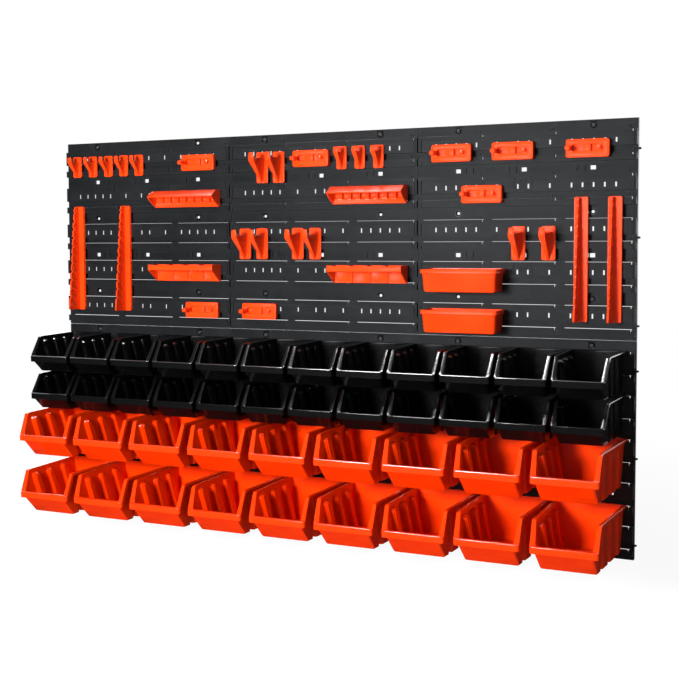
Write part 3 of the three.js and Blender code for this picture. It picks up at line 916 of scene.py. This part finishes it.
def pocket_rack_mesh():
    w = 145
    f, y1 = FACE + 3, FACE + 38
    b = Build()
    b.prism([(FACE, 0), (f, 0), (f, -33), (FACE, -33)], 0, w)
    top = Build()
    top.prism([(FACE + 0.6, 0), (y1, 0), (y1, -10.4), (y1 - 1, -11), (y1 - 3, -11), (y1 - 3, -2.4), (FACE + 0.6, -2.4)], 0, w)
    ops = [("UNION", top)]
    for x in (0.0, w - 2.4):
        g = Build()
        g.prism([(FACE + 0.5, -0.4), (y1 - 0.4, -0.4), (y1 - 0.4, -10.6), (f + 2.5, -32), (FACE + 0.5, -32.6)], x, x + 2.4)
        ops.append(("UNION", g))
    cell = (w - 6) / 4
    for i in range(1, 4):
        g = Build()
        g.box(3 + cell * i - 1, 3 + cell * i + 1, FACE + 1, f + 3, -32.5, -1)
        ops.append(("UNION", g))
    for i in range(4):
        hole = Build()
        hole.box(3 + cell * i + 2.5, 3 + cell * (i + 1) - 2.5, f + 3, y1 - 6, -6, 3)
        ops.append(("DIFFERENCE", hole))
        notch = Build()
        notch.plate(rounded(3 + cell * i + 9, 3 + cell * (i + 1) - 9, -1.1, 3, 1.0, 4), y1 - 8, y1 + 2)
        ops.append(("DIFFERENCE", notch))
        seat = Build()
        seat.plate(rounded(3 + cell * i + 3, 3 + cell * (i + 1) - 3, -30, -4, 1.4, 3), f - 1.0, f + 2)
        ops.append(("DIFFERENCE", seat))
    return soft(cut(b, ops), "pocket_rack", 0.35, 2)


hole_me, pocket_me = hole_rack_mesh(), pocket_rack_mesh()
for i, x in enumerate((-357, 28.5)):
    place(hole_me, f"rack_square_holes_{i + 1}", x * MM, lvl(274.5), "board", (f"rack_hole_{i + 1}",))
    place(pocket_me, f"rack_four_pockets_{i + 1}", x * MM, lvl(127), "board", (f"rack_pocket_{i + 1}",))


def tray_mesh():
    w, h, out = 139, 41, 60
    f = FACE
    V, F = [], []

    def ring(z, half, d0, d1, r, n=5):
        pts = rounded(-half, half, d0, d1, r, n)
        ids = []
        for x, d in pts:
            ids.append(len(V))
            V.append((x, d, z))
        return ids
    rings = []
    for z, half, d0, d1, r in ((-h, 61.5, f + 4, f + 49, 4), (-h + 0.8, 63.2, f + 2.4, f + 51, 5), (-h + 3, 64.6, f + 1.4, f + 52.4, 6), (-9.0, 66.4, f, f + 56.6, 6), (-8.2, 66.8, f, f + 57, 6), (-7.8, 68.6, f, f + 59.2, 6.5), (-7.0, 69.3, f, f + 60, 7), (-0.9, 69.3, f, f + 60, 7), (-0.2, 69.0, f, f + 59.7, 6.8), (0, 68.3, f, f + 59.0, 6.3),
                               (0, 66.9, f + 2.4, f + 57.4, 5.5), (-0.3, 66.3, f + 2.8, f + 56.8, 5.2), (-1.0, 66.0, f + 3.0, f + 56.4, 5), (-9.5, 64.8, f + 3, f + 54.4, 5), (-h + 4, 62.6, f + 4, f + 50, 5), (-h + 2.4, 60.6, f + 6, f + 48, 4)):
        rings.append(ring(z, half, d0, d1, r))
    n = len(rings[0])
    for a, b in zip(rings, rings[1:]):
        for k in range(n):
            l = (k + 1) % n
            F.append([a[k], a[l], b[l], b[k]])
    F.append(rings[0])
    F.append(rings[-1][::-1])
    b = Build()
    b.add(V, F)
    return finish_mesh("tray", b.v, b.f, HOLDER, smooth=38)


tray_me = tray_mesh()
for i, z in enumerate((122.5, 50)):
    place(tray_me, f"open_tray_{i + 1}", 285 * MM, lvl(z), "board", (f"tray_{i + 1}",))


def tall_rack_mesh():
    top, foot, w = 246.5, 31.5, 24
    f = FACE + 3
    h = top - foot
    plate = Build()
    plate.plate(rounded(0, w, foot, top, 3.0, 4), FACE, f)
    rail = Build()
    rail.plate(rounded(w - 3, w - 0.5, foot + 0.5, top - 0.5, 1.2, 3), f - 0.5, f + 3)
    lip = Build()
    lip.plate(rounded(0.6, 3.0, foot + 0.5, top - 0.5, 1.1, 3), f - 0.5, f + 1.6)

    def out(z):
        return f + 14 + 24 * (top - z) / h
    teeth = Build()
    pts = [(f - 1, foot + 1), (f - 1, top - 0.8), (out(top) - 5.5, top - 0.8), (out(top) - 3.4, top - 1.6), (out(top) - 1.2, top - 3.6)]
    step = (h - 24) / 11
    for i in range(11):
        z = top - 9 - step * i
        o = out(z)
        deep = (o - f) * 0.66
        fall = min(deep * 1.1, step * 1.2)
        ex, ez = o - deep, z - fall
        pts += [(o, z + 0.6), (o - 0.5, z - 0.4), (ex, ez), (ex - 1.0, ez - 1.4), (ex - 0.6, ez - 2.9), (ex + 0.6, ez - 3.3), (o - deep * 0.55, z - fall * 0.55 - 4.0), (out(z - 5.2) - 2.4, z - 5.0), (out(z - 6.6) - 1.0, z - 6.6), (out(z - 8.5), z - 8.8)]
    pts += [(out(foot), foot + 5), (out(foot) - 1.4, foot + 2.0), (out(foot) - 5, foot + 1)]
    teeth.prism(pts, 7.0, 10.0)
    b = cut(plate, [("UNION", teeth), ("UNION", rail), ("UNION", lip)])
    return soft(b, "tall_rack", 0.4, 1)


tall_me = tall_rack_mesh()
for i, x in enumerate((-554, -441.25, 473, 529.25)):
    place(tall_me, f"rack_sloping_slots_{i + 1}", x * MM, SEAM - 0.25 * MM + 0.0, "board", (f"rack_tall_{i + 1}",))


# ------------------------------------------------------------------ stage
def floor_material():
    m = bpy.data.materials.new("pale_floor")
    m.use_nodes = True
    nt = m.node_tree
    N, L = nt.nodes, nt.links
    N.clear()
    out = N.new("ShaderNodeOutputMaterial")
    glow = N.new("ShaderNodeEmission")
    glow.inputs["Color"].default_value = (1, 1, 1, 1)
    glow.inputs["Strength"].default_value = 0.90
    dif = N.new("ShaderNodeBsdfDiffuse")
    noise = N.new("ShaderNodeTexNoise")
    noise.inputs["Scale"].default_value = 3.0
    ramp = N.new("ShaderNodeValToRGB")
    ramp.color_ramp.elements[0].color = (0.20, 0.20, 0.20, 1)
    ramp.color_ramp.elements[1].color = (0.22, 0.22, 0.22, 1)
    L.new(noise.outputs["Fac"], ramp.inputs["Fac"])
    L.new(ramp.outputs["Color"], dif.inputs["Color"])
    add = N.new("ShaderNodeAddShader")
    L.new(glow.outputs["Emission"], add.inputs[0])
    L.new(dif.outputs["BSDF"], add.inputs[1])
    geo = N.new("ShaderNodeNewGeometry")
    dist = N.new("ShaderNodeVectorMath")
    dist.operation = "LENGTH"
    L.new(geo.outputs["Position"], dist.inputs[0])
    fade = N.new("ShaderNodeMapRange")
    fade.inputs["From Min"].default_value = 0.9
    fade.inputs["From Max"].default_value = 1.9
    L.new(dist.outputs["Value"], fade.inputs["Value"])
    white = N.new("ShaderNodeEmission")
    white.inputs["Color"].default_value = (1, 1, 1, 1)
    far = N.new("ShaderNodeMixShader")
    L.new(fade.outputs["Result"], far.inputs["Fac"])
    L.new(add.outputs["Shader"], far.inputs[1])
    L.new(white.outputs["Emission"], far.inputs[2])
    path = N.new("ShaderNodeLightPath")
    dim = N.new("ShaderNodeBsdfDiffuse")
    tone = N.new("ShaderNodeMix")
    tone.data_type = "RGBA"
    tone.inputs["A"].default_value = (0.45, 0.45, 0.45, 1)
    tone.inputs["B"].default_value = (0.04, 0.04, 0.04, 1)
    L.new(path.outputs["Is Glossy Ray"], tone.inputs["Factor"])
    L.new(tone.outputs["Result"], dim.inputs["Color"])
    mix = N.new("ShaderNodeMixShader")
    L.new(path.outputs["Is Camera Ray"], mix.inputs["Fac"])
    L.new(dim.outputs["BSDF"], mix.inputs[1])
    L.new(far.outputs["Shader"], mix.inputs[2])
    L.new(mix.outputs["Shader"], out.inputs["Surface"])
    return m


def floor():
    bm = bmesh.new()
    n = 96
    rings = [0.0] + [0.4 * 1.18 ** i for i in range(22)]
    prev = None
    for r in rings:
        if r == 0:
            cur = [bm.verts.new((0, 0, 0))]
        else:
            cur = [bm.verts.new((r * math.cos(2 * math.pi * k / n), r * math.sin(2 * math.pi * k / n), 0)) for k in range(n)]
        if prev is not None:
            if len(prev) == 1:
                for k in range(n):
                    bm.faces.new((prev[0], cur[k], cur[(k + 1) % n]))
            else:
                for k in range(n):
                    l = (k + 1) % n
                    bm.faces.new((prev[k], cur[k], cur[l], prev[l]))
        prev = cur
    me = bpy.data.meshes.new("pale_floor")
    bm.to_mesh(me)
    bm.free()
    me.materials.append(floor_material())
    o = bpy.data.objects.new("pale_floor", me)
    scene.collection.objects.link(o)
    o.location = (0, 0, cad_box[0][2] - 0.075)


floor()

world = bpy.data.worlds.new("studio")
scene.world = world
world.use_nodes = True
wn, wl = world.node_tree.nodes, world.node_tree.links
wn.clear()
wo = wn.new("ShaderNodeOutputWorld")
seen = wn.new("ShaderNodeBackground")
seen.inputs["Color"].default_value = (1, 1, 1, 1)
seen.inputs["Strength"].default_value = 1.0
lit = wn.new("ShaderNodeBackground")
lit.inputs["Color"].default_value = (0.96, 0.98, 1.0, 1)
lit.inputs["Strength"].default_value = 0.22
shine = wn.new("ShaderNodeBackground")
shine.inputs["Color"].default_value = (1.0, 1.0, 1.0, 1)
ray = wn.new("ShaderNodeTexCoord")
split = wn.new("ShaderNodeSeparateXYZ")
wl.new(ray.outputs["Generated"], split.inputs["Vector"])
rise = wn.new("ShaderNodeMapRange")
rise.inputs["From Min"].default_value = -0.15
rise.inputs["From Max"].default_value = 0.45
rise.inputs["To Min"].default_value = 0.09
rise.inputs["To Max"].default_value = 3.4
wl.new(split.outputs["Y"], rise.inputs["Value"])
wl.new(rise.outputs["Result"], shine.inputs["Strength"])
lp = wn.new("ShaderNodeLightPath")
gm = wn.new("ShaderNodeMixShader")
wl.new(lp.outputs["Is Glossy Ray"], gm.inputs["Fac"])
wl.new(lit.outputs["Background"], gm.inputs[1])
wl.new(shine.outputs["Background"], gm.inputs[2])
wm = wn.new("ShaderNodeMixShader")
wl.new(lp.outputs["Is Camera Ray"], wm.inputs["Fac"])
wl.new(gm.outputs["Shader"], wm.inputs[1])
wl.new(seen.outputs["Background"], wm.inputs[2])
wl.new(wm.outputs["Shader"], wo.inputs["Surface"])
world.cycles.sampling_method = "NONE"


def area(name, loc, target, size, energy, color=(1, 1, 1)):
    l = bpy.data.lights.new(name, "AREA")
    l.shape = "RECTANGLE"
    l.size, l.size_y = size
    l.energy = energy
    l.color = color
    o = bpy.data.objects.new(name, l)
    scene.collection.objects.link(o)
    o.location = loc
    d = Vector(target) - Vector(loc)
    o.rotation_euler = d.to_track_quat("-Z", "Y").to_euler()
    return o


key = area("key", (-0.16, -2.5, 0.34), (0.0, 0.0, -0.02), (0.5, 0.4), 130)
key.visible_glossy = False
front = area("front_fill", (0.75, -2.4, 0.15), (0.0, 0.0, -0.1), (1.6, 0.9), 5)
front.visible_glossy = False
over = area("overhead", (-0.23, -0.24, 1.30), (-0.05, -0.20, 0.0), (0.62, 0.5), 80)
over.visible_diffuse = False
sheen = area("sheen", (-0.40, -2.6, 0.24), (0.35, 0.0, 0.2), (0.8, 0.45), 7)
sheen.visible_diffuse = False

# ------------------------------------------------------------------ camera
AZ, EL, ROLL, FOCAL = math.radians(29.568), math.radians(3.818), math.radians(-0.660), 1329.8
back = Vector((math.sin(AZ) * math.cos(EL), -math.cos(AZ) * math.cos(EL), math.sin(EL)))
right = Vector((math.cos(AZ), math.sin(AZ), 0.0))
up = back.cross(right)
r2 = math.cos(ROLL) * right + math.sin(ROLL) * up
u2 = -math.sin(ROLL) * right + math.cos(ROLL) * up
cam = bpy.data.cameras.new("camera")
cam.sensor_width = 36.0
cam.sensor_fit = "HORIZONTAL"
cam.lens = FOCAL * 36.0 / 679.0
cam.clip_start, cam.clip_end = 0.05, 60.0
co = bpy.data.objects.new("camera", cam)
scene.collection.objects.link(co)
co.matrix_world = Matrix(((r2.x, u2.x, back.x, 0.9918), (r2.y, u2.y, back.y, -2.3626), (r2.z, u2.z, back.z, 0.2050), (0, 0, 0, 1)))
scene.camera = co


def shifted(channel, amount):
    """The photograph is a crop of a wider picture, so its own camera is shifted; any other camera place looks straight on."""
    curve = cam.driver_add(channel)
    curve.driver.type = "SUM"
    v = curve.driver.variables.new()
    v.name = "x"
    v.type = "TRANSFORMS"
    v.targets[0].id = co
    v.targets[0].transform_type = "LOC_X"
    v.targets[0].transform_space = "WORLD_SPACE"
    for m in list(curve.modifiers):
        curve.modifiers.remove(m)
    while len(curve.keyframe_points):
        curve.keyframe_points.remove(curve.keyframe_points[0])
    keys = ((0.9753, 0.0), (0.9863, amount), (0.9973, amount), (1.0083, 0.0))
    curve.keyframe_points.add(len(keys))
    for k, at in zip(curve.keyframe_points, keys):
        k.co = at
        k.interpolation = "LINEAR"
    curve.extrapolation = "CONSTANT"
    curve.update()


shifted("shift_x", (339.5 - 165.7) / 679.0)
shifted("shift_y", (313.5 - 339.5) / 679.0)
bpy.context.view_layer.update()
scene.view_settings.view_transform = "Standard"
scene.view_settings.look = "None"
